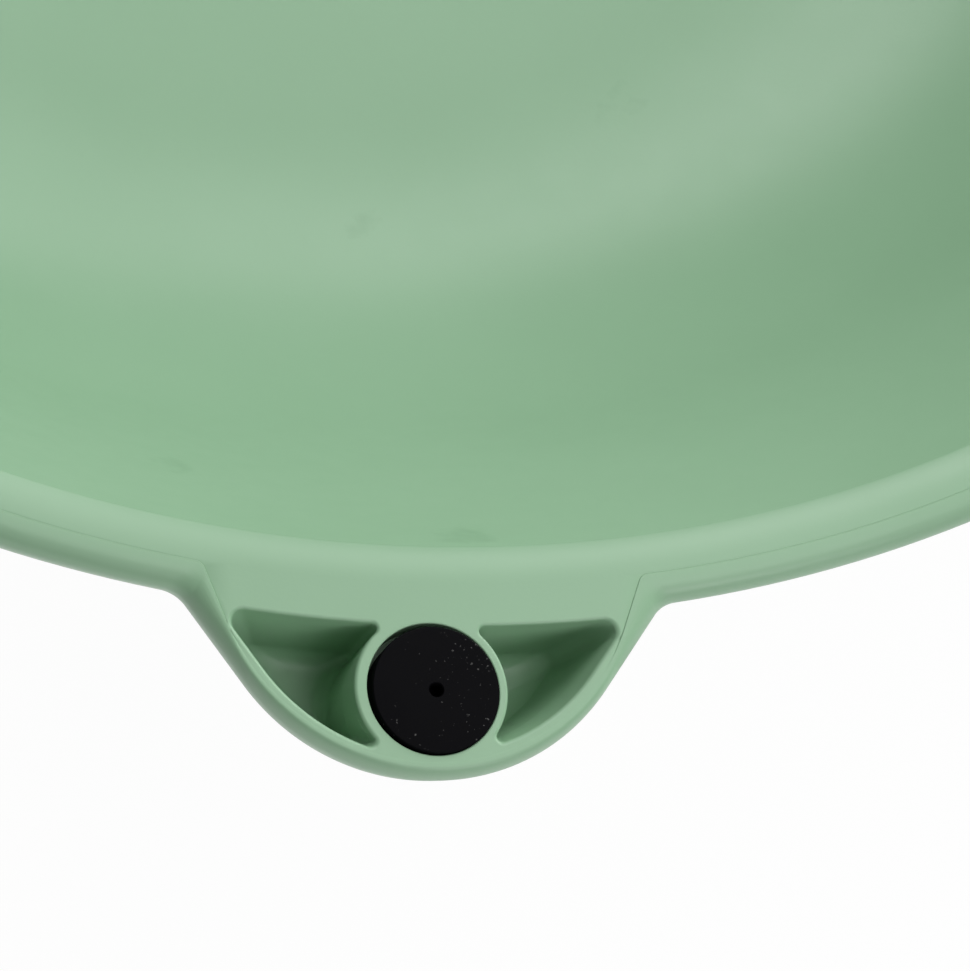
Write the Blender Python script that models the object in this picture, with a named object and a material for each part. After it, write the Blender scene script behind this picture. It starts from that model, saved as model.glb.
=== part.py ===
# Gold pan: a moulded plastic dish with four rim lugs, each holding a push-in rubber bumper.
# Metres, +Z up. The pan stands on its flat base, centred on the Z axis, front lug towards -Y.

import math

import bmesh
import bpy
from mathutils import Matrix, Vector

MM = 0.001

# Dish
RIM_RADIUS = 178.0 * MM
RIM_WIDTH = 7.4 * MM
INNER_DEPTH = 69.6 * MM
WALL = 2.5 * MM
WALL_SLOPE = math.radians(57)
FLOOR_FILLET = 58.0 * MM
MOUTH_ROUNDING = 3.3 * MM
RIM_ROUNDING = 3.5 * MM
LIP_DEPTH = 6.0 * MM
LIP_WALL = 2.2 * MM
FLANGE_WALL = 2.4 * MM
DRAFT = math.radians(15)

# Riffles moulded into the wall opposite the front lug
RIFFLE_COUNT = 3
RIFFLE_LEDGE = 3.0 * MM
RIFFLE_LAND = 0.85 * MM
RIFFLE_TOP_DEPTH = 21.0 * MM
RIFFLE_SPREAD = math.radians(104)

# Bumpers and their sockets
BUMPER_RADIUS = 8.0 * MM
BUMPER_PROUD = 0.4 * MM
BUMPER_EDGE = 0.5 * MM
PIN_HOLE_RADIUS = 0.875 * MM
PIN_HOLE_DEPTH = 3.0 * MM
STEM_RADIUS = 3.0 * MM
STEM_LENGTH = 8.0 * MM
SOCKET_DEPTH = 4.0 * MM
SOCKET_CLEARANCE = 0.3 * MM
FIT_GAP = 0.3 * MM
BOSS_WALL = 1.1 * MM

# Lugs, each a bell-shaped head with a skirt and a drafted body below it
LUG_COUNT = 4
BOSS_BACK_GAP = 0.1 * MM
BOSS_NOSE_GAP = 1.1 * MM
LUG_NOSE_RADIUS = 27.0 * MM
LUG_FLANK_SLOPE = math.radians(55)
LUG_ROOT_FILLET = 4.0 * MM
LUG_ROOT_SHARE = 0.85
LUG_ROUNDING = 2.2 * MM
LUG_FLOOR = 2.5 * MM
LUG_STEP = 0.6 * MM

# Pockets either side of each bumper
POCKET_DEPTH = 13.5 * MM
POCKET_SKIN = 1.8 * MM
POCKET_WEB = 1.3 * MM
POCKET_CORNER = 1.2 * MM

# Roundness of the mesh
DISH_SEGMENTS = 96
BUMPER_SEGMENTS = 32
FILLET_STEPS = 6
ROUNDING_STEPS = 4
OUTLINE_STEPS = 8
SMOOTH_ANGLE = math.radians(32)
WELD = 1e-7

# Places worked out from the sizes above
MOUTH_RADIUS = RIM_RADIUS - RIM_WIDTH
RIM_HEIGHT = INNER_DEPTH + WALL
WALL_RUN = 1.0 / math.tan(WALL_SLOPE)
WALL_SHIFT = WALL / math.sin(WALL_SLOPE)
RIFFLE_PITCH = (RIFFLE_LEDGE + WALL - WALL_SHIFT / 2) / WALL_RUN + WALL + RIFFLE_LAND
SOCKET_RADIUS = BUMPER_RADIUS + SOCKET_CLEARANCE
BOSS_RADIUS = SOCKET_RADIUS + BOSS_WALL
BUMPER_AXIS = RIM_RADIUS + BOSS_BACK_GAP + BOSS_RADIUS
BUMPER_SEAT = FIT_GAP - SOCKET_DEPTH
STEM_END = BUMPER_SEAT - STEM_LENGTH
BORE_END = STEM_END - FIT_GAP
LUG_TIP = BUMPER_AXIS + BOSS_RADIUS + BOSS_NOSE_GAP
LUG_NOSE_CENTRE = LUG_TIP - LUG_NOSE_RADIUS
LUG_FACE = RIM_HEIGHT
LUG_HEIGHT = POCKET_DEPTH + LUG_FLOOR
FIRST_LUG = -math.pi / 2

for old in list(bpy.data.objects):
    bpy.data.objects.remove(old)


def arc(cx, cy, radius, start, end, steps):
    """Points along an arc, both ends included."""
    angles = [start + (end - start) * i / steps for i in range(steps + 1)]
    return [(cx + radius * math.cos(a), cy + radius * math.sin(a)) for a in angles]


def wall_radius(height, shift=0.0):
    """Radius of the dish wall's inner face at a height, moved outward by a shift."""
    return MOUTH_RADIUS - (RIM_HEIGHT - height) * WALL_RUN + shift


def material(name, colour, roughness):
    made = bpy.data.materials.new(name)
    made.use_nodes = True
    shader = made.node_tree.nodes["Principled BSDF"]
    shader.inputs["Base Color"].default_value = (*colour, 1.0)
    shader.inputs["Roughness"].default_value = roughness
    shader.inputs["Metallic"].default_value = 0.0
    return made


def make_object(name, bm, finish=None):
    """Turn a bmesh into a named object; one without a finish is a hidden tool."""
    bmesh.ops.recalc_face_normals(bm, faces=bm.faces[:])
    mesh = bpy.data.meshes.new(name)
    bm.to_mesh(mesh)
    bm.free()
    mesh.shade_smooth()
    mesh.set_sharp_from_angle(angle=SMOOTH_ANGLE)
    made = bpy.data.objects.new(name, mesh)
    bpy.context.collection.objects.link(made)
    if finish:
        mesh.materials.append(finish)
    else:
        made.hide_render = True
        made.display_type = "WIRE"
    return made


def turn(bm, profile, segments, sweep=math.tau, start=0.0):
    """Spin a (radius, height) outline round the Z axis, right round or as a closed sector."""
    verts = [bm.verts.new((r * math.cos(start), r * math.sin(start), z)) for r, z in profile]
    edges = [bm.edges.new(pair) for pair in zip(verts, verts[1:])]
    whole = math.isclose(sweep, math.tau)
    geometry = verts + edges
    if not whole:
        geometry.append(bm.edges.new((verts[-1], verts[0])))
        geometry.append(bm.faces.new(verts))
    bmesh.ops.spin(bm, geom=geometry, axis=(0, 0, 1), cent=(0, 0, 0), angle=sweep,
                   steps=segments, use_merge=whole)
    bmesh.ops.remove_doubles(bm, verts=bm.verts[:], dist=WELD)


def loft(bm, rings):
    """Skin a stack of equal rings, close both ends and return the rings of vertices."""
    loops = [[bm.verts.new(point) for point in ring] for ring in rings]
    for low, high in zip(loops, loops[1:]):
        for i in range(len(low)):
            bm.faces.new((low[i - 1], low[i], high[i], high[i - 1]))
    bm.faces.new(loops[0])
    bm.faces.new(loops[-1])
    return loops


def repeat_round(bm):
    """Copy what is drawn along +X to every lug."""
    geometry = bm.verts[:] + bm.edges[:] + bm.faces[:]
    bmesh.ops.rotate(bm, verts=bm.verts[:], cent=(0, 0, 0), matrix=Matrix.Rotation(FIRST_LUG, 3, "Z"))
    for i in range(1, LUG_COUNT):
        copy = bmesh.ops.duplicate(bm, geom=geometry)["geom"]
        verts = [item for item in copy if isinstance(item, bmesh.types.BMVert)]
        step = Matrix.Rotation(i * math.tau / LUG_COUNT, 3, "Z")
        bmesh.ops.rotate(bm, verts=verts, cent=(0, 0, 0), matrix=step)


def dish_profile():
    """Section from the middle of the floor, up the wall, over the rim and back to the base."""
    fillet_centre = wall_radius(WALL) - FLOOR_FILLET * math.tan(WALL_SLOPE / 2)
    down = -math.pi / 2
    inside = [(0.0, WALL)]
    inside += arc(fillet_centre, WALL + FLOOR_FILLET, FLOOR_FILLET, down, down + WALL_SLOPE, FILLET_STEPS)

    mouth_centre = MOUTH_RADIUS + MOUTH_ROUNDING * math.tan(WALL_SLOPE / 2)
    up = math.pi / 2
    crest = arc(mouth_centre, RIM_HEIGHT - MOUTH_ROUNDING, MOUTH_ROUNDING,
                up + WALL_SLOPE, up, ROUNDING_STEPS)
    crest += arc(RIM_RADIUS - RIM_ROUNDING, RIM_HEIGHT - RIM_ROUNDING, RIM_ROUNDING,
                 up, 0.0, ROUNDING_STEPS)

    foot = RIM_HEIGHT - LIP_DEPTH
    foot_radius = RIM_RADIUS - (LIP_DEPTH - RIM_ROUNDING) * math.tan(DRAFT)
    flange = RIM_HEIGHT - FLANGE_WALL
    lip = [(foot_radius, foot), (foot_radius - LIP_WALL, foot), (foot_radius - LIP_WALL, flange)]
    lip.append((wall_radius(flange, WALL_SHIFT), flange))

    outer_fillet = FLOOR_FILLET + WALL
    outside = arc(fillet_centre, outer_fillet, outer_fillet, down + WALL_SLOPE, down, FILLET_STEPS)
    outside.append((0.0, 0.0))
    return inside + crest + lip + outside


def flank_line(radius):
    """Start and direction of the straight flank that leaves a nose arc of some radius."""
    outward = Vector((math.cos(LUG_FLANK_SLOPE), math.sin(LUG_FLANK_SLOPE)))
    along = Vector((-outward.y, outward.x))
    return Vector((LUG_NOSE_CENTRE, 0)) + outward * radius, along


def meet_circle(start, along, radius):
    """First point on a line from start that lies on a circle about the pan's axis."""
    middle = start.dot(along)
    return start - along * (middle + math.sqrt(middle ** 2 - start.length_squared + radius ** 2))


def head_outline(inset, inner_radius):
    """Half plan of a lug's head: nose, straight flank, flared root, then the wall inside it."""
    nose = LUG_NOSE_RADIUS - inset
    root_radius = LUG_ROOT_FILLET + inset
    root = meet_circle(*flank_line(nose + root_radius), RIM_RADIUS - inset + root_radius)
    bearing = math.atan2(root.y, root.x)
    flank_end = math.pi + LUG_FLANK_SLOPE
    root_end = flank_end + (math.pi + bearing - flank_end) * LUG_ROOT_SHARE
    points = arc(LUG_NOSE_CENTRE, 0, nose, 0, LUG_FLANK_SLOPE, OUTLINE_STEPS)
    points += arc(root.x, root.y, root_radius, flank_end, root_end, ROUNDING_STEPS)
    return points + arc(0, 0, inner_radius, bearing, 0, OUTLINE_STEPS)


def body_outline(inset, inner_radius):
    """Half plan of a lug's body, whose flanks run straight into the dish wall."""
    nose = LUG_NOSE_RADIUS - inset
    corner = meet_circle(*flank_line(nose), RIM_RADIUS)
    bearing = math.atan2(corner.y, corner.x)
    points = arc(LUG_NOSE_CENTRE, 0, nose, 0, LUG_FLANK_SLOPE, OUTLINE_STEPS)
    points.append(tuple(corner))
    return points + arc(0, 0, inner_radius, bearing, 0, OUTLINE_STEPS)


def lug_stack(name, outline, levels):
    """Loft a lug's outline through (inset, depth) levels, on every lug."""
    rings = []
    for inset, depth in levels:
        height = LUG_FACE - depth
        half = outline(inset, wall_radius(height, WALL_SHIFT / 2))
        mirrored = [(x, -y) for x, y in reversed(half[1:-1])]
        rings.append([(x, y, height) for x, y in half + mirrored])
    bm = bmesh.new()
    loft(bm, rings)
    repeat_round(bm)
    return make_object(name, bm)


def lug_heads():
    rounding = arc(LUG_ROUNDING, LUG_ROUNDING, LUG_ROUNDING, math.pi, 1.5 * math.pi, ROUNDING_STEPS)
    levels = [((LIP_DEPTH - LUG_ROUNDING) * math.tan(DRAFT), LIP_DEPTH)] + rounding
    return lug_stack("lug_heads", head_outline, levels)


def body_inset(depth):
    """How far a lug's body is drawn in from its outline at a depth below the lug's face."""
    return LUG_STEP + depth * math.tan(DRAFT)


def lug_bodies():
    levels = [(body_inset(depth), depth) for depth in (LUG_HEIGHT, LUG_ROUNDING)]
    return lug_stack("lug_bodies", body_outline, levels)


def crossing(centre_a, radius_a, centre_b, radius_b):
    """Upper point where two circles centred on the X axis cross."""
    gap = centre_b - centre_a
    x = (gap ** 2 + radius_a ** 2 - radius_b ** 2) / (2 * gap)
    return centre_a + x, math.sqrt(radius_a ** 2 - x ** 2)


def pocket_outline(depth):
    """Plan of the pocket on one side of a lug, within the drafted skin, and its corners' places."""
    back = RIM_RADIUS + BOSS_BACK_GAP + POCKET_WEB
    skin = LUG_NOSE_RADIUS - POCKET_SKIN - body_inset(depth)
    tip = crossing(0, back, BUMPER_AXIS, BOSS_RADIUS)
    toe = crossing(LUG_NOSE_CENTRE, skin, BUMPER_AXIS, BOSS_RADIUS)
    heel = meet_circle(*flank_line(skin), back)

    def angle(point, centre=0.0):
        return math.atan2(point[1], point[0] - centre)

    along_back = arc(0, 0, back, angle(tip), angle(heel), ROUNDING_STEPS)
    along_skin = arc(LUG_NOSE_CENTRE, 0, skin, LUG_FLANK_SLOPE, angle(toe, LUG_NOSE_CENTRE), ROUNDING_STEPS)
    along_boss = arc(BUMPER_AXIS, 0, BOSS_RADIUS, angle(toe, BUMPER_AXIS), angle(tip, BUMPER_AXIS),
                     OUTLINE_STEPS)
    points = along_back + along_skin + along_boss[1:-1]
    corners = (0, len(along_back) - 1, len(along_back) + len(along_skin) - 1)
    return points, corners


def pocket_cutters():
    bm = bmesh.new()
    for side in (1, -1):
        rings = []
        for depth in (POCKET_DEPTH, -LUG_ROUNDING):
            points, corners = pocket_outline(depth)
            rings.append([(x, side * y, LUG_FACE - depth) for x, y in points])
        loops = loft(bm, rings)
        uprights = [bm.edges.get((loops[0][i], loops[1][i])) for i in corners]
        bmesh.ops.bevel(bm, geom=uprights, offset=POCKET_CORNER, offset_type="OFFSET",
                        segments=ROUNDING_STEPS, profile=0.5, affect="EDGES", material=-1)
    repeat_round(bm)
    return make_object("pocket_cutters", bm)


def socket_cutters():
    bm = bmesh.new()
    over = LUG_ROUNDING
    bore = STEM_RADIUS + FIT_GAP
    turn(bm, [(0.0, over), (SOCKET_RADIUS, over), (SOCKET_RADIUS, -SOCKET_DEPTH), (bore, -SOCKET_DEPTH),
              (bore, BORE_END), (0.0, BORE_END)], BUMPER_SEGMENTS)
    bmesh.ops.translate(bm, verts=bm.verts[:], vec=(BUMPER_AXIS, 0, LUG_FACE))
    repeat_round(bm)
    return make_object("socket_cutters", bm)


def riffle_tool(name, thickness, root_shift):
    """Stacked ledges round the back of the wall, grown by a thickness and rooted at a shift from it."""
    bm = bmesh.new()
    sweep = RIFFLE_SPREAD + 2 * thickness / RIM_RADIUS
    steps = round(DISH_SEGMENTS * sweep / math.tau)
    for i in range(RIFFLE_COUNT):
        ledge = RIM_HEIGHT - RIFFLE_TOP_DEPTH - i * RIFFLE_PITCH
        face = wall_radius(ledge) + RIFFLE_LEDGE + thickness
        low = ledge - thickness
        head = RIM_HEIGHT - (MOUTH_RADIUS + root_shift - face) / WALL_RUN
        section = [(wall_radius(low, root_shift), low), (face, low), (face, head)]
        turn(bm, section, steps, sweep, math.pi / 2 - sweep / 2)
    return make_object(name, bm)


def shape(target, tool, operation):
    modifier = target.modifiers.new(tool.name, "BOOLEAN")
    modifier.object = tool
    modifier.operation = operation
    modifier.solver = "EXACT"


def make_pan():
    bm = bmesh.new()
    turn(bm, dish_profile(), DISH_SEGMENTS)
    pan = make_object("pan_shell", bm, material("green_plastic", (0.29, 0.46, 0.31), 0.38))
    shape(pan, riffle_tool("riffle_backs", WALL, WALL_SHIFT / 2), "UNION")
    shape(pan, lug_bodies(), "UNION")
    shape(pan, lug_heads(), "UNION")
    shape(pan, riffle_tool("riffle_cutters", 0.0, -FIT_GAP), "DIFFERENCE")
    shape(pan, pocket_cutters(), "DIFFERENCE")
    shape(pan, socket_cutters(), "DIFFERENCE")
    return pan


def bumper_profile():
    """Section of a bumper from its centre hole to the end of its stem, measured from the lug's face."""
    hole_floor = BUMPER_PROUD - PIN_HOLE_DEPTH
    points = [(0.0, hole_floor), (PIN_HOLE_RADIUS, hole_floor), (PIN_HOLE_RADIUS, BUMPER_PROUD)]
    points += arc(BUMPER_RADIUS - BUMPER_EDGE, BUMPER_PROUD - BUMPER_EDGE, BUMPER_EDGE,
                  math.pi / 2, 0.0, ROUNDING_STEPS)
    points += [(BUMPER_RADIUS, BUMPER_SEAT), (STEM_RADIUS, BUMPER_SEAT), (STEM_RADIUS, STEM_END)]
    return points + [(0.0, STEM_END)]


def make_bumpers(pan):
    rubber = material("black_rubber", (0.006, 0.006, 0.007), 0.5)
    for i, side in enumerate(("front", "right", "back", "left")):
        bm = bmesh.new()
        turn(bm, bumper_profile(), BUMPER_SEGMENTS)
        bumper = make_object("bumper_" + side, bm, rubber)
        angle = FIRST_LUG + i * math.tau / LUG_COUNT
        bumper.location = (BUMPER_AXIS * math.cos(angle), BUMPER_AXIS * math.sin(angle), LUG_FACE)
        bumper.parent = pan


make_bumpers(make_pan())
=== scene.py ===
import math

import bmesh
import bpy
from mathutils import Matrix, Vector


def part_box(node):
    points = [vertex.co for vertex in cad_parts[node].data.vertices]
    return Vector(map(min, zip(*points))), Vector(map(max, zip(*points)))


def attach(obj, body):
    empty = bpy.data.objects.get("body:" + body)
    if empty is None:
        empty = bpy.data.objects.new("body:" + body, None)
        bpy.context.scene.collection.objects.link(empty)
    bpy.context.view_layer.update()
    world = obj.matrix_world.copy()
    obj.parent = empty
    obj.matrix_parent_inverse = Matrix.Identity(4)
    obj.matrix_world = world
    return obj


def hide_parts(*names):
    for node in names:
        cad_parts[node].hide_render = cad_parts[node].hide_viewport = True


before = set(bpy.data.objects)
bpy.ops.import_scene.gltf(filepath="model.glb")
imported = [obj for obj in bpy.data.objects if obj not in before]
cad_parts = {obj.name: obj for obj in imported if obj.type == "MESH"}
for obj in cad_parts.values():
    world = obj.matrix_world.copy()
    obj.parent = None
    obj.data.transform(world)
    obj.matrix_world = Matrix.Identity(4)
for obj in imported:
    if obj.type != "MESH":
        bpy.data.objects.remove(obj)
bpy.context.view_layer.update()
print("frame loaded")

mm = 0.001
weld = 0.002 * mm                              # points nearer than this become one
sharpAngle = math.radians(35)
origin = Vector((0, 0, 0))
upAxis = Vector((0, 0, 1))
sideAxis = Vector((0, 1, 0))
sides = ["front", "right", "back", "left"]
quarters = len(sides)                          # lugs round the rim

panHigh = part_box("pan_shell")[1]
bumperLow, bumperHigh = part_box("bumper_front")
crest = panHigh.z                              # top of the rim and of the lugs
lugTip = panHigh.x                             # reach of a lug from the pan's axis
bumperAxis = -(bumperLow.y + bumperHigh.y) / 2
bumperRadius = (bumperHigh.x - bumperLow.x) / 2
bumperTop = bumperHigh.z
bumperFoot = bumperLow.z


# helpers for drawing with bmesh operators

def sweepVert(bm, vert, centre, angle, steps, axis=upAxis):
    made = bmesh.ops.spin(bm, geom=[vert], cent=centre, axis=axis, angle=angle, steps=steps)
    return [item for item in made["geom_last"] if isinstance(item, bmesh.types.BMVert)][0]


def runVert(bm, vert, place):
    made = bmesh.ops.extrude_vert_indiv(bm, verts=[vert])["verts"][0]
    made.co = place
    return made


def takeIn(bm, draft):                         # brings a draft into a piece, returns its edges
    known = set(bm.edges)
    mesh = bpy.data.meshes.new("draft")
    draft.to_mesh(mesh)
    draft.free()
    bm.from_mesh(mesh)
    bpy.data.meshes.remove(mesh)
    return [edge for edge in bm.edges if edge not in known]


def joinLoops(bm, last, loop):                 # held apart while they are bridged, so that none crosses
    verts = list({vert for edge in loop for vert in edge.verts})
    apart = Vector((0, 0, -10 * mm))
    bmesh.ops.translate(bm, verts=verts, vec=apart)
    bmesh.ops.bridge_loops(bm, edges=last + loop)
    bmesh.ops.translate(bm, verts=verts, vec=-apart)


def stackLoops(bm, drawLoop, levels):          # a wall through one loop for each level, returns the last
    last = None
    for level in levels:
        loop = drawLoop(bm, *level)
        if last:
            joinLoops(bm, last, loop)
        last = loop
    return last


def quarterTurn(steps):
    return [math.pi / 2 * i / steps for i in range(steps + 1)]


def weldAll(bm):
    bmesh.ops.remove_doubles(bm, verts=bm.verts[:], dist=weld)


def repeatRound(bm):
    geometry = bm.verts[:] + bm.edges[:] + bm.faces[:]
    bmesh.ops.spin(bm, geom=geometry, cent=origin, axis=upAxis, use_duplicate=True,
                   angle=math.tau * (quarters - 1) / quarters, steps=quarters - 1)
    weldAll(bm)


def turnRound(bm, steps):
    geometry = bm.verts[:] + bm.edges[:]
    bmesh.ops.spin(bm, geom=geometry, cent=origin, axis=upAxis, angle=math.tau, steps=steps, use_merge=True)
    weldAll(bm)


def rimEdges(bm, height):                      # open edges that lie at one height
    return [edge for edge in bm.edges if len(edge.link_faces) != 2
            and all(abs(vert.co.z - height) < weld for vert in edge.verts)]


def finishPiece(bm, name, finish, body, replaced):
    weldAll(bm)
    bmesh.ops.recalc_face_normals(bm, faces=bm.faces[:])
    mesh = bpy.data.meshes.new(name)
    bm.to_mesh(mesh)
    bm.free()
    mesh.shade_smooth()
    mesh.set_sharp_from_angle(angle=sharpAngle)
    mesh.materials.append(finish)
    piece = bpy.data.objects.new(name, mesh)
    bpy.context.collection.objects.link(piece)
    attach(piece, body)
    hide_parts(replaced)
    return piece


def crossing(centreA, radiusA, centreB, radiusB):   # where two circles on the X axis meet
    gap = centreB - centreA
    x = (gap ** 2 + radiusA ** 2 - radiusB ** 2) / (2 * gap)
    return Vector((centreA + x, math.sqrt(radiusA ** 2 - x ** 2)))


def meetCircle(start, along, radius):          # where a line from start meets a circle round the axis
    middle = start.dot(along)
    return start - along * (middle + math.sqrt(middle ** 2 - start.length_squared + radius ** 2))


def bearing(point, centre=0.0):
    return math.atan2(point.y, point.x - centre)


# helpers for materials

def feed(tree, socket, value):                 # a link or a fixed value
    if isinstance(value, bpy.types.NodeSocket):
        tree.links.new(value, socket)
    else:
        socket.default_value = value


def addNode(tree, kind, **inputs):
    node = tree.nodes.new(kind)
    for name, value in inputs.items():
        feed(tree, node.inputs[name.replace("_", " ")], value)
    return node


def addMath(tree, operation, *values):
    node = tree.nodes.new("ShaderNodeMath")
    node.operation = operation
    for socket, value in zip(node.inputs, values):
        feed(tree, socket, value)
    return node.outputs["Value"]


def addNoise(tree, place, scale, detail):
    return addNode(tree, "ShaderNodeTexNoise", Vector=place, Scale=scale, Detail=detail).outputs["Fac"]


def addRange(tree, value, low, high):          # the noise's range made a range of roughness
    return addNode(tree, "ShaderNodeMapRange", Value=value, To_Min=low, To_Max=high).outputs["Result"]


def addRamp(tree, value, *stops):              # each stop has a position and a colour
    node = tree.nodes.new("ShaderNodeValToRGB")
    for element, (position, colour) in zip(node.color_ramp.elements, stops):
        element.position = position
        element.color = colour
    tree.links.new(value, node.inputs["Fac"])
    return node.outputs["Color"]


def addPlace(tree):
    return tree.nodes.new("ShaderNodeTexCoord").outputs["Object"]


def startMaterial(name):
    made = bpy.data.materials.new(name)
    made.use_nodes = True
    tree = made.node_tree
    return made, tree, tree.nodes["Principled BSDF"]


# the plastic: blotched sage green, a little scuffed, with a fine grain

plasticLook = {
    "blotch": (16.0, 3.0),                     # scale and detail of the noise
    "dark": (0.3, (0.262, 0.443, 0.280, 1)),   # noise level and colour
    "pale": (0.7, (0.284, 0.469, 0.303, 1)),
    "scuff": (70.0, 5.0),
    "scuffFrom": 0.69,                         # noise levels where a scuff starts and is full
    "scuffFull": 0.78,
    "scuffed": (0.225, 0.395, 0.243, 1),
    "sheen": (220.0, 4.0),
    "roughness": (0.33, 0.43),
    "grain": (1800.0, 2.0),
    "grainStrength": 0.05,
    "grainDepth": 0.2 * mm,
}


def makePlastic():
    made, tree, shader = startMaterial("sagePlastic")
    place = addPlace(tree)
    blotch = addNoise(tree, place, *plasticLook["blotch"])
    tone = addRamp(tree, blotch, plasticLook["dark"], plasticLook["pale"])
    smudge = addNoise(tree, place, *plasticLook["scuff"])
    scuff = addNode(tree, "ShaderNodeMapRange", Value=smudge, From_Min=plasticLook["scuffFrom"],
                    From_Max=plasticLook["scuffFull"])
    colour = addNode(tree, "ShaderNodeMixRGB", Fac=scuff.outputs["Result"], Color1=tone,
                     Color2=plasticLook["scuffed"])
    tree.links.new(colour.outputs["Color"], shader.inputs["Base Color"])

    sheen = addNoise(tree, place, *plasticLook["sheen"])
    tree.links.new(addRange(tree, sheen, *plasticLook["roughness"]), shader.inputs["Roughness"])

    grain = addNoise(tree, place, *plasticLook["grain"])
    bump = addNode(tree, "ShaderNodeBump", Strength=plasticLook["grainStrength"],
                   Distance=plasticLook["grainDepth"], Height=grain)
    tree.links.new(bump.outputs["Normal"], shader.inputs["Normal"])
    return made


# the rubber: satin black with a few specks of dust

rubberLook = {
    "patch": (160.0, 2.0),                     # scale and detail of the noise
    "speck": (2300.0, 2.0),
    "patchShare": 0.2,                         # how far the dust keeps to its patches
    "clean": (0.80, (0.0022, 0.0022, 0.0030, 1)),
    "dusty": (0.88, (0.09, 0.09, 0.088, 1)),
    "roughness": (0.5, 0.66),
    "specular": 0.045,
}


def makeRubber():
    made, tree, shader = startMaterial("blackRubber")
    place = addPlace(tree)
    patch = addNoise(tree, place, *rubberLook["patch"])
    speck = addNoise(tree, place, *rubberLook["speck"])
    dust = addMath(tree, "MULTIPLY_ADD", patch, rubberLook["patchShare"], speck)
    colour = addRamp(tree, dust, rubberLook["clean"], rubberLook["dusty"])
    tree.links.new(colour, shader.inputs["Base Color"])
    tree.links.new(addRange(tree, patch, *rubberLook["roughness"]), shader.inputs["Roughness"])
    shader.inputs["Specular IOR Level"].default_value = rubberLook["specular"]
    return made


plastic = makePlastic()
rubber = makeRubber()
print("materials made")


# the dish, turned round the pan's axis

dish = {
    "rimRadius": 178.0 * mm,
    "floor": 2.5 * mm,
    "wallSlope": math.radians(57),
    "wall": 2.5 * mm,
    "floorFillet": 58.0 * mm,
    "filletSteps": 14,
    "crownEnd": 174.3 * mm,                    # where the rim's crown becomes level
    "crownRadius": 9.3 * mm,
    "crownTilt": math.radians(30),             # of the crown at the mouth's edge
    "crownSteps": 10,
    "crownFlat": 0.06 * mm,                    # a level strip outside the crown
    "mouthEdge": 1.0 * mm,
    "mouthSteps": 6,
    "flange": 2.4 * mm,
    "skirt": 6.0 * mm,                         # below the crest
    "skirtRadius": 174.8 * mm,                 # of its inner side
    "skirtEdge": 0.3 * mm,
    "segments": 360,
}
riffle = {
    "count": 3,
    "topDepth": 21.0 * mm,
    "pitch": 9.53 * mm,
    "ledge": 3.0 * mm,
    "lift": 0.3 * mm,                          # slope of a ledge towards the wall
    "spread": math.radians(104),
    "edge": 0.45 * mm,
    "edgeSteps": 3,
}
wallRun = 1 / math.tan(dish["wallSlope"])
wallShift = dish["wall"] / math.sin(dish["wallSlope"])
ledges = [crest - riffle["topDepth"] - i * riffle["pitch"] for i in reversed(range(riffle["count"]))]


def leaning(angle):                            # up, leaning towards the pan's axis
    return Vector((-math.sin(angle), 0, math.cos(angle)))


crownMiddle = Vector((dish["crownEnd"], 0, crest - dish["crownRadius"]))
edgeMiddle = crownMiddle + (dish["crownRadius"] - dish["mouthEdge"]) * leaning(dish["crownTilt"])
wallTop = edgeMiddle + dish["mouthEdge"] * leaning(dish["wallSlope"])


def wallRadius(height, shift=0.0):
    return wallTop.x - (wallTop.z - height) * wallRun + shift


floorRadius = wallRadius(dish["floor"]) - dish["floorFillet"] * math.tan(dish["wallSlope"] / 2)


def drawFloor(bm, height, fillet):             # from the axis to the top of the fillet
    vert = bm.verts.new((0, 0, height))
    vert = runVert(bm, vert, (floorRadius, 0, height))
    middle = (floorRadius, 0, height + fillet)
    return sweepVert(bm, vert, middle, -dish["wallSlope"], dish["filletSteps"], sideAxis)


def drawInside(bm):
    vert = drawFloor(bm, dish["floor"], dish["floorFillet"])
    for ledge in ledges:
        for height in (ledge, ledge + riffle["lift"], ledge + riffle["ledge"] / wallRun):
            vert = runVert(bm, vert, (wallRadius(height), 0, height))
    vert = runVert(bm, vert, wallTop)
    turn = dish["wallSlope"] - dish["crownTilt"]
    vert = sweepVert(bm, vert, edgeMiddle, turn, dish["mouthSteps"], sideAxis)
    vert = sweepVert(bm, vert, crownMiddle, dish["crownTilt"], dish["crownSteps"], sideAxis)
    runVert(bm, vert, (dish["crownEnd"] + dish["crownFlat"], 0, crest))
    turnRound(bm, dish["segments"])


def drawOutside(bm):
    vert = drawFloor(bm, 0, dish["floorFillet"] + dish["wall"])
    for ledge in ledges:
        foot = ledge - dish["wall"]
        head = ledge + (riffle["ledge"] + dish["wall"] - wallShift) / wallRun
        for height in (foot, foot + riffle["lift"], head):
            vert = runVert(bm, vert, (wallRadius(height, wallShift), 0, height))
    flange, foot = crest - dish["flange"], crest - dish["skirt"]
    lip, edge = dish["skirtRadius"], dish["skirtEdge"]
    for out, height in ((wallRadius(flange, wallShift), flange), (lip, flange), (lip, foot + edge),
                        (lip + edge, foot)):
        vert = runVert(bm, vert, (out, 0, height))
    turnRound(bm, dish["segments"])


def inRiffles(vert):
    return abs(math.atan2(vert.co.x, vert.co.y)) < riffle["spread"] / 2


def pushRiffles(bm, thickness):                # pushes the corner rings of the ledges outwards
    for ledge in ledges:
        height = ledge - thickness + riffle["lift"]
        ring = [vert for vert in bm.verts if abs(vert.co.z - height) < weld and inRiffles(vert)]
        reach = wallRadius(ledge) + riffle["ledge"] + thickness
        factor = reach / ring[0].co.xy.length
        bmesh.ops.scale(bm, verts=ring, vec=(factor, factor, 1))


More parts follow.
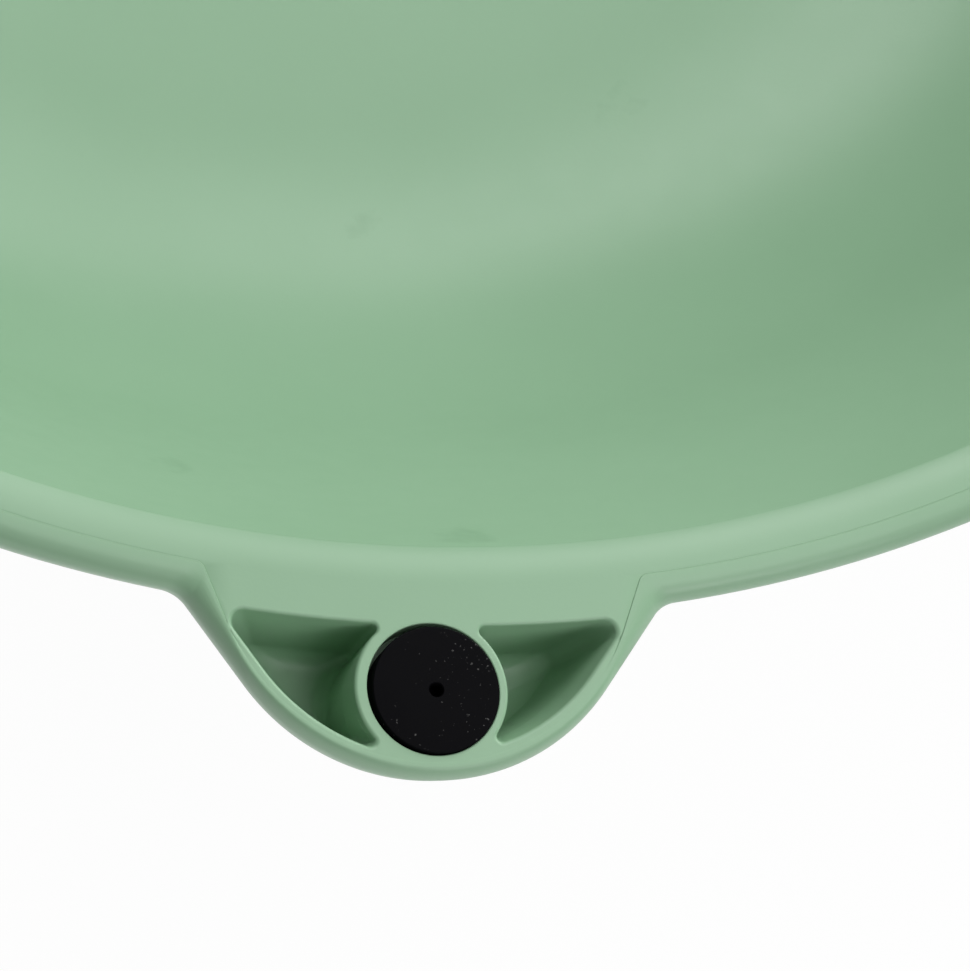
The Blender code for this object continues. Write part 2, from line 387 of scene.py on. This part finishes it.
def softenRiffles(bm, heights):
    edges = [edge for edge in bm.edges
             if any(all(abs(vert.co.z - height) < weld and inRiffles(vert) for vert in edge.verts)
                    for height in heights)]
    bmesh.ops.bevel(bm, geom=edges, offset=riffle["edge"], offset_type="OFFSET", segments=riffle["edgeSteps"],
                    profile=0.5, affect="EDGES", material=-1, clamp_overlap=True)


def makeDish(bm):
    inside = bmesh.new()
    drawInside(inside)
    pushRiffles(inside, 0.0)
    softenRiffles(inside, ledges + [ledge + riffle["lift"] for ledge in ledges])
    takeIn(bm, inside)
    outside = bmesh.new()
    drawOutside(outside)
    pushRiffles(outside, dish["wall"])
    softenRiffles(outside, [ledge - dish["wall"] + riffle["lift"] for ledge in ledges])
    takeIn(bm, outside)


# rim and lugs: each lug is drawn along +X and repeated round the pan

lug = {
    "noseRadius": 27.0 * mm,
    "noseSteps": 30,
    "flankSlope": math.radians(55),
    "rootFillet": 4.0 * mm,
    "rootSteps": 12,
    "rimSteps": 36,                            # from a lug's root half-way to the next lug
    "edgeDrop": 2.8 * mm,
    "edgeFullness": 2.5,                       # 2 is an ellipse, more is squarer
    "edgeSteps": 9,
    "draft": math.tan(math.radians(15)),
    # share of the draft, further tuck and rise of each line round the skirt's foot
    "foot": ((0.85, 0.0, 0.4 * mm), (1.0, 0.0, 0.12 * mm), (1.0, 0.3 * mm, 0.0)),
}
parting = {                                    # the mould's witness line round the top
    "rimInset": 3.2 * mm,
    "lugInset": 0.75 * mm,
    "flankSlope": math.radians(70),
    "rootFillet": 1.2 * mm,
    "shift": Vector((-0.6, -0.35)) * mm,       # on a lug, to the rim and to the left
    "ridge": 0.08 * mm,
    "groove": 0.03 * mm,
    "width": 0.08 * mm,
    "fadeStart": 182.0 * mm,                   # from here to fadeEnd the line fades towards a lug's nose
    "fadeEnd": 186.0 * mm,
    "fadeLeft": 0.12,
}


def flankOf(slope):                            # a flank's outward direction and its way to the rim
    return Vector((math.cos(slope), math.sin(slope))), Vector((-math.sin(slope), math.cos(slope)))


def drawHalf(rimInset, lugInset, slope, rootRadius, shift, height):
    draft = bmesh.new()
    outward, along = flankOf(slope)
    nose = Vector((lugTip - lug["noseRadius"], 0)) + shift
    noseRadius = lug["noseRadius"] - lugInset
    reach = dish["rimRadius"] - rimInset + rootRadius
    root = meetCircle(nose + outward * (noseRadius + rootRadius), along, reach)
    turn = bearing(root)
    vert = draft.verts.new((nose.x + noseRadius, nose.y, height))
    vert = sweepVert(draft, vert, (*nose, height), slope, lug["noseSteps"])
    vert = runVert(draft, vert, (*(root - outward * rootRadius), height))
    vert = sweepVert(draft, vert, (*root, height), turn - slope, lug["rootSteps"])
    sweepVert(draft, vert, (0, 0, height), math.pi / quarters - turn, lug["rimSteps"])
    return draft


def drawRim(bm, rimInset, lugInset, slope, rootRadius, shift, height):   # a loop round the rim and its lugs
    draft = drawHalf(rimInset, lugInset, slope, rootRadius, shift, height)
    other = drawHalf(rimInset, lugInset, slope, rootRadius, shift * Vector((1, -1)), height)
    bmesh.ops.scale(other, verts=other.verts[:], vec=(1, -1, 1))
    takeIn(draft, other)
    repeatRound(draft)
    return takeIn(bm, draft)


def rimLevels():
    rim, inset, shift = parting["rimInset"], parting["lugInset"], parting["shift"]
    slope, root, width = parting["flankSlope"], parting["rootFillet"], parting["width"]
    ridge, groove = parting["ridge"], parting["groove"]
    lugSlope, lugRoot = lug["flankSlope"], lug["rootFillet"]
    levels = [(rim + out, inset + out, slope, root + out, shift, crest + lift)
              for out, lift in ((width * 3, 0), (width * 2, -groove), (width, ridge), (0, ridge))]
    top = crest + ridge
    for turn in quarterTurn(lug["edgeSteps"])[1:]:   # a full, soft edge outside the witness line
        share = 1 - math.sin(turn) ** (2 / lug["edgeFullness"])
        fall = 1 - abs(math.cos(turn)) ** (2 / lug["edgeFullness"])
        levels.append((rim * share, inset * share, lugSlope + (slope - lugSlope) * share,
                       lugRoot + (root - lugRoot) * share, shift * share, top - lug["edgeDrop"] * fall))
    foot = crest - dish["skirt"]
    tuck = (top - lug["edgeDrop"] - foot) * lug["draft"]
    for share, inward, rise in lug["foot"]:
        out = tuck * share + inward
        levels.append((out, out, lugSlope, lugRoot + out, Vector((0, 0)), foot + rise))
    return levels


def fadeParting(bm):
    start, end, left = parting["fadeStart"], parting["fadeEnd"], parting["fadeLeft"]
    lowest = crest - 1.5 * parting["groove"]   # just under the groove
    for vert in bm.verts:
        if vert.co.z > lowest:
            share = min(1.0, max(0.0, (end - vert.co.xy.length) / (end - start)))
            vert.co.z = crest + (vert.co.z - crest) * (left + (1 - left) * share)


def makeRim(bm):
    stackLoops(bm, drawRim, rimLevels())
    fadeParting(bm)


pocket = {
    "backRadius": 179.6 * mm,
    "backSteps": 18,
    "bossRadius": 9.45 * mm,
    "bossSteps": 24,
    "skin": {1: 2.6 * mm, -1: 1.95 * mm},      # right and left of the bumper, seen from the nose
    "skinSteps": 16,
    "tipFillet": 0.7 * mm,                     # between the back and the boss
    "heelFillet": 1.5 * mm,                    # between the back and the flank
    "heelSteps": 14,
    "toeFillet": 0.7 * mm,                     # between the nose and the boss
    "cornerSteps": 12,
    "edge": 0.45 * mm,
    "edgeSteps": 6,
    "edgeFlat": 0.05 * mm,                     # a level strip round the mouth
    "depth": 15.0 * mm,
    "floorEdge": 2.2 * mm,
    "floorSteps": 8,
    "draft": math.tan(math.radians(15)),
}
socket = {
    "shift": Vector((0, 0.22, 0)) * mm,        # to the right of its boss
    "radius": 8.12 * mm,
    "edge": 0.18 * mm,
    "edgeSteps": 5,
    "edgeFlat": 0.04 * mm,
    "depth": 4.0 * mm,
    "bore": 3.3 * mm,
    "end": 12.0 * mm,
    "segments": 96,
}
body = {                                       # the block under a lug's head
    "step": 0.6 * mm,                          # in from the head's edge
    "top": 1.6 * mm,                           # below the lug's face, inside the head
    "height": 16.0 * mm,
    "footEdge": 1.0 * mm,
    "footSteps": 3,
    "clear": 0.02 * mm,                        # of its pockets round the head's, where they overlap
    "noseSteps": 24,
    "backSteps": 12,
}


def drawPocket(bm, side, flare, depth, inset=0.0):
    outward, along = flankOf(lug["flankSlope"])
    nose = Vector((lugTip - lug["noseRadius"], 0))
    skin = lug["noseRadius"] - pocket["skin"][side] - depth * pocket["draft"] - inset
    back, boss = pocket["backRadius"] + inset, pocket["bossRadius"] + inset
    tipFillet, heelFillet, toeFillet = pocket["tipFillet"], pocket["heelFillet"], pocket["toeFillet"]
    tip = crossing(0, back + tipFillet, bumperAxis, boss + tipFillet)
    toe = crossing(nose.x, skin - toeFillet, bumperAxis, boss + toeFillet)
    heel = meetCircle(nose + outward * (skin - heelFillet), along, back + heelFillet)
    heelTurn = lug["flankSlope"] - bearing(heel) - math.pi
    skinTurn = bearing(toe, nose.x) - lug["flankSlope"]
    toeTurn = bearing(toe, bumperAxis) - math.pi - bearing(toe, nose.x)
    bossTurn = bearing(tip, bumperAxis) - bearing(toe, bumperAxis)
    tipTurn = bearing(tip) - bearing(tip, bumperAxis)

    draft = bmesh.new()
    height = crest - depth
    vert = draft.verts.new((*(tip.normalized() * (back - flare)), height))
    vert = sweepVert(draft, vert, (0, 0, height), bearing(heel) - bearing(tip), pocket["backSteps"])
    vert = sweepVert(draft, vert, (*heel, height), heelTurn, pocket["heelSteps"])
    vert = runVert(draft, vert, (*(nose + outward * (skin + flare)), height))
    vert = sweepVert(draft, vert, (*nose, height), skinTurn, pocket["skinSteps"])
    vert = sweepVert(draft, vert, (*toe, height), toeTurn, pocket["cornerSteps"])
    vert = sweepVert(draft, vert, (bumperAxis, 0, height), bossTurn, pocket["bossSteps"])
    sweepVert(draft, vert, (*tip, height), tipTurn, pocket["cornerSteps"])
    weldAll(draft)
    bmesh.ops.scale(draft, verts=draft.verts[:], vec=(1, side, 1))
    return takeIn(bm, draft)


def makePocketMouths(bm):                      # from the lug's face down through its head
    edge = pocket["edge"]
    levels = [(edge + pocket["edgeFlat"], 0.0)]
    levels += [(edge * (1 - math.sin(turn)), edge * (1 - math.cos(turn)))
               for turn in quarterTurn(pocket["edgeSteps"])]
    levels.append((0.0, dish["skirt"]))
    mouths = bmesh.new()
    for side in pocket["skin"]:
        stackLoops(mouths, drawPocket, [(side, *level) for level in levels])
    repeatRound(mouths)
    takeIn(bm, mouths)


def moveToSocket(bm):
    bmesh.ops.translate(bm, verts=bm.verts[:], vec=socket["shift"] + Vector((bumperAxis, 0, crest)))


def makeSocketMouths(bm):
    draft = bmesh.new()
    radius, edge = socket["radius"], socket["edge"]
    vert = draft.verts.new((radius + edge + socket["edgeFlat"], 0, 0))
    vert = runVert(draft, vert, (radius + edge, 0, 0))
    vert = sweepVert(draft, vert, (radius + edge, 0, -edge), -math.pi / 2, socket["edgeSteps"], sideAxis)
    runVert(draft, vert, (radius, 0, -dish["skirt"]))
    turnRound(draft, socket["segments"])
    moveToSocket(draft)
    repeatRound(draft)
    takeIn(bm, draft)


def drawBody(bm, inset, depth):
    draft = bmesh.new()
    height = crest - depth
    outward, along = flankOf(lug["flankSlope"])
    nose = Vector((lugTip - lug["noseRadius"], 0))
    noseRadius = lug["noseRadius"] - inset
    corner = meetCircle(nose + outward * noseRadius, along, dish["rimRadius"])
    turn = bearing(corner)
    back = wallRadius(height, wallShift / 2)
    vert = draft.verts.new((nose.x + noseRadius, 0, height))
    vert = sweepVert(draft, vert, (*nose, height), lug["flankSlope"], body["noseSteps"])
    vert = runVert(draft, vert, (*corner, height))
    vert = runVert(draft, vert, (back * math.cos(turn), back * math.sin(turn), height))
    sweepVert(draft, vert, (0, 0, height), -turn, body["backSteps"])
    bmesh.ops.mirror(draft, geom=draft.verts[:] + draft.edges[:], matrix=Matrix.Identity(4),
                     merge_dist=weld, axis="Y")
    weldAll(draft)
    return takeIn(bm, draft)


def makeBlock(bm):                             # its sides and its rounded foot
    low, edge = body["height"], body["footEdge"]
    levels = [(body["step"] + body["top"] * lug["draft"], body["top"])]
    for turn in quarterTurn(body["footSteps"]):
        tuck = edge * (1 - math.cos(turn))
        depth = low - edge * (1 - math.sin(turn))
        levels.append((body["step"] + depth * lug["draft"] + tuck, depth))
    last = stackLoops(bm, drawBody, levels)
    bmesh.ops.triangle_fill(bm, edges=last, use_beauty=True)


def makeBodyPockets(bm):
    deep, foot = pocket["depth"], pocket["floorEdge"]
    levels = [(body["clear"], body["top"], 0.0)]
    levels += [(0.0, deep - foot * (1 - math.sin(turn)), foot * (1 - math.cos(turn)))
               for turn in quarterTurn(pocket["floorSteps"])]
    for side in pocket["skin"]:
        last = stackLoops(bm, drawPocket, [(side, *level) for level in levels])
        bmesh.ops.triangle_fill(bm, edges=last, use_beauty=True)


def makeBodySocket(bm):
    draft = bmesh.new()
    vert = draft.verts.new((socket["radius"] + body["clear"], 0, -body["top"]))
    for out, depth in ((socket["radius"], socket["depth"]), (socket["bore"], socket["depth"]),
                       (socket["bore"], socket["end"]), (0.0, socket["end"])):
        vert = runVert(draft, vert, (out, 0, -depth))
    turnRound(draft, socket["segments"])
    moveToSocket(draft)
    takeIn(bm, draft)


def makeBodies(bm):
    draft = bmesh.new()
    makeBlock(draft)
    makeBodyPockets(draft)
    makeBodySocket(draft)
    weldAll(draft)
    edges = rimEdges(draft, crest - body["top"])
    bmesh.ops.triangle_fill(draft, edges=edges, use_beauty=True, normal=upAxis)
    bmesh.ops.recalc_face_normals(draft, faces=draft.faces[:])
    repeatRound(draft)
    takeIn(bm, draft)


def fillQuarters(bm, height):                  # the flat round each lug, cut off half-way to the next
    half = math.pi / quarters
    slack = 0.0001
    for i in range(quarters):
        spoke = Matrix.Rotation(half * (2 * i + 1), 3, "Z") @ Vector((1, 0, 0))
        ends = {vert for edge in rimEdges(bm, height) for vert in edge.verts
                if (vert.co - Vector((0, 0, height)) - vert.co.xy.length * spoke).length < weld}
        inner, outer = sorted(ends, key=lambda vert: vert.co.length)
        runVert(bm, inner, outer.co)
    weldAll(bm)
    for i in range(quarters):
        turn = Matrix.Rotation(-2 * half * i, 3, "Z")
        edges = [edge for edge in rimEdges(bm, height)
                 if all(abs(bearing(turn @ vert.co)) < half + slack for vert in edge.verts)]
        bmesh.ops.triangle_fill(bm, edges=edges, use_beauty=True, normal=upAxis)


def makeShell():
    bm = bmesh.new()
    makeDish(bm)
    makeRim(bm)
    makePocketMouths(bm)
    makeSocketMouths(bm)
    weldAll(bm)
    fillQuarters(bm, crest)
    fillQuarters(bm, crest - dish["skirt"])
    makeBodies(bm)
    return finishPiece(bm, "panShell", plastic, "pan", "pan_shell")


shell = makeShell()
print("pan shell made:", len(shell.data.polygons), "faces")


# the bumpers

bumper = {
    "radius": bumperRadius - 0.2 * mm,
    "lean": Vector((0.16, 0.265, 0)) * mm,     # pushed to the nose and to the right in its socket
    "edge": 0.2 * mm,
    "edgeSteps": 6,
    "pinHole": 0.875 * mm,
    "pinEdge": 0.1 * mm,
    "pinDepth": 3.0 * mm,
    "seat": 3.7 * mm,                          # below the lug's face
    "stem": 2.8 * mm,
    "segments": 128,
}


def makeBumper(side, turn):
    bm = bmesh.new()
    edge, radius, stem = bumper["edge"], bumper["radius"], bumper["stem"]
    hole, holeEdge = bumper["pinHole"], bumper["pinEdge"]
    floor, seat = bumperTop - bumper["pinDepth"], crest - bumper["seat"]
    vert = bm.verts.new((0, 0, floor))
    for out, height in ((hole, floor), (hole, bumperTop - holeEdge), (hole + holeEdge, bumperTop),
                        (radius - edge, bumperTop)):
        vert = runVert(bm, vert, (out, 0, height))
    rounding = (radius - edge, 0, bumperTop - edge)
    vert = sweepVert(bm, vert, rounding, math.pi / 2, bumper["edgeSteps"], sideAxis)
    for out, height in ((radius, seat), (stem, seat), (stem, bumperFoot), (0, bumperFoot)):
        vert = runVert(bm, vert, (out, 0, height))
    turnRound(bm, bumper["segments"])
    place = Vector((bumperAxis, 0, 0)) + socket["shift"] + bumper["lean"]
    bmesh.ops.translate(bm, verts=bm.verts[:], vec=place)
    bmesh.ops.rotate(bm, verts=bm.verts[:], cent=origin, matrix=Matrix.Rotation(turn, 3, "Z"))
    finishPiece(bm, side + "Bumper", rubber, side + "_bumper", "bumper_" + side)


for i, side in enumerate(sides):
    makeBumper(side, -math.pi / 2 + i * math.tau / quarters)
print("bumpers made")


# floor, light and camera

ground = {
    "size": 4.0,
    "drop": 0.1 * mm,                          # just clear of the pan's base
    "colour": (0.9, 0.9, 0.9, 1),
    "roughness": 0.9,
    "glow": 0.97,                              # share of plain white, seen by the camera and in reflections
}
studio = {
    "world": 0.1,
    "distance": 1.7,
    "softboxes": [                             # bearing from +X and elevation in degrees, size, watts
        (45, 18, 1.0, 13.9),
        (90, 45, 1.0, 12.4),
        (292, 31, 0.8, 7.8),
        (315, 68, 0.8, 6.5),
        (45, 68, 0.8, 3.5),
        (22, 31, 0.8, 3.1),
    ],
}
photoView = {
    "place": Vector((-337.09, -533.52, 1282.94)) * mm,
    "yaw": math.radians(15.9),
    "pitch": math.radians(-16.438),
    "roll": math.radians(2.883),
    "focal": 11000,                            # pixels, in a picture 970 by 971
    "height": 971,
    "sensor": 36,
}


def makeFloorFinish():                         # pale, and white to the camera except where shadow shows
    made, tree, shader = startMaterial("paleFloor")
    shader.inputs["Base Color"].default_value = ground["colour"]
    shader.inputs["Roughness"].default_value = ground["roughness"]
    glow = addNode(tree, "ShaderNodeEmission", Strength=1.0)
    path = tree.nodes.new("ShaderNodeLightPath")
    seen = addMath(tree, "MAXIMUM", path.outputs["Is Camera Ray"], path.outputs["Is Glossy Ray"])
    mix = addNode(tree, "ShaderNodeMixShader", Fac=addMath(tree, "MULTIPLY", seen, ground["glow"]))
    tree.links.new(shader.outputs["BSDF"], mix.inputs[1])
    tree.links.new(glow.outputs["Emission"], mix.inputs[2])
    tree.links.new(mix.outputs["Shader"], tree.nodes["Material Output"].inputs["Surface"])
    return made


def makeFloor():
    bm = bmesh.new()
    bmesh.ops.create_grid(bm, x_segments=2, y_segments=2, size=ground["size"],
                          matrix=Matrix.Translation(-ground["drop"] * upAxis))
    mesh = bpy.data.meshes.new("floor")
    bm.to_mesh(mesh)
    bm.free()
    mesh.materials.append(makeFloorFinish())
    floor = bpy.data.objects.new("floor", mesh)
    bpy.context.collection.objects.link(floor)


def makeStudio():
    scene = bpy.context.scene
    scene.view_settings.view_transform = "Standard"
    world = bpy.data.worlds.new("studio")
    world.use_nodes = True
    sky = world.node_tree.nodes["Background"]
    sky.inputs["Color"].default_value = (1, 1, 1, 1)
    sky.inputs["Strength"].default_value = studio["world"]
    scene.world = world
    for turn, rise, size, power in studio["softboxes"]:
        lamp = bpy.data.lights.new("softbox", "AREA")
        lamp.energy = power
        lamp.size = size
        box = bpy.data.objects.new("softbox", lamp)
        bpy.context.collection.objects.link(box)
        aim = Matrix.Rotation(math.radians(turn), 4, "Z") @ Matrix.Rotation(math.radians(90 - rise), 4, "Y")
        box.matrix_world = aim @ Matrix.Translation(studio["distance"] * upAxis)


def makeCamera():
    lens = bpy.data.cameras.new("photoCamera")
    lens.sensor_width = photoView["sensor"]
    lens.lens = photoView["focal"] * photoView["sensor"] / photoView["height"]
    camera = bpy.data.objects.new("photoCamera", lens)
    bpy.context.collection.objects.link(camera)
    turn = (Matrix.Rotation(photoView["roll"], 4, "Z") @ Matrix.Rotation(photoView["pitch"], 4, "X")
            @ Matrix.Rotation(photoView["yaw"], 4, "Y"))
    camera.matrix_world = Matrix.Translation(photoView["place"]) @ turn.inverted()
    bpy.context.scene.camera = camera


makeFloor()
makeStudio()
makeCamera()
print("studio ready")
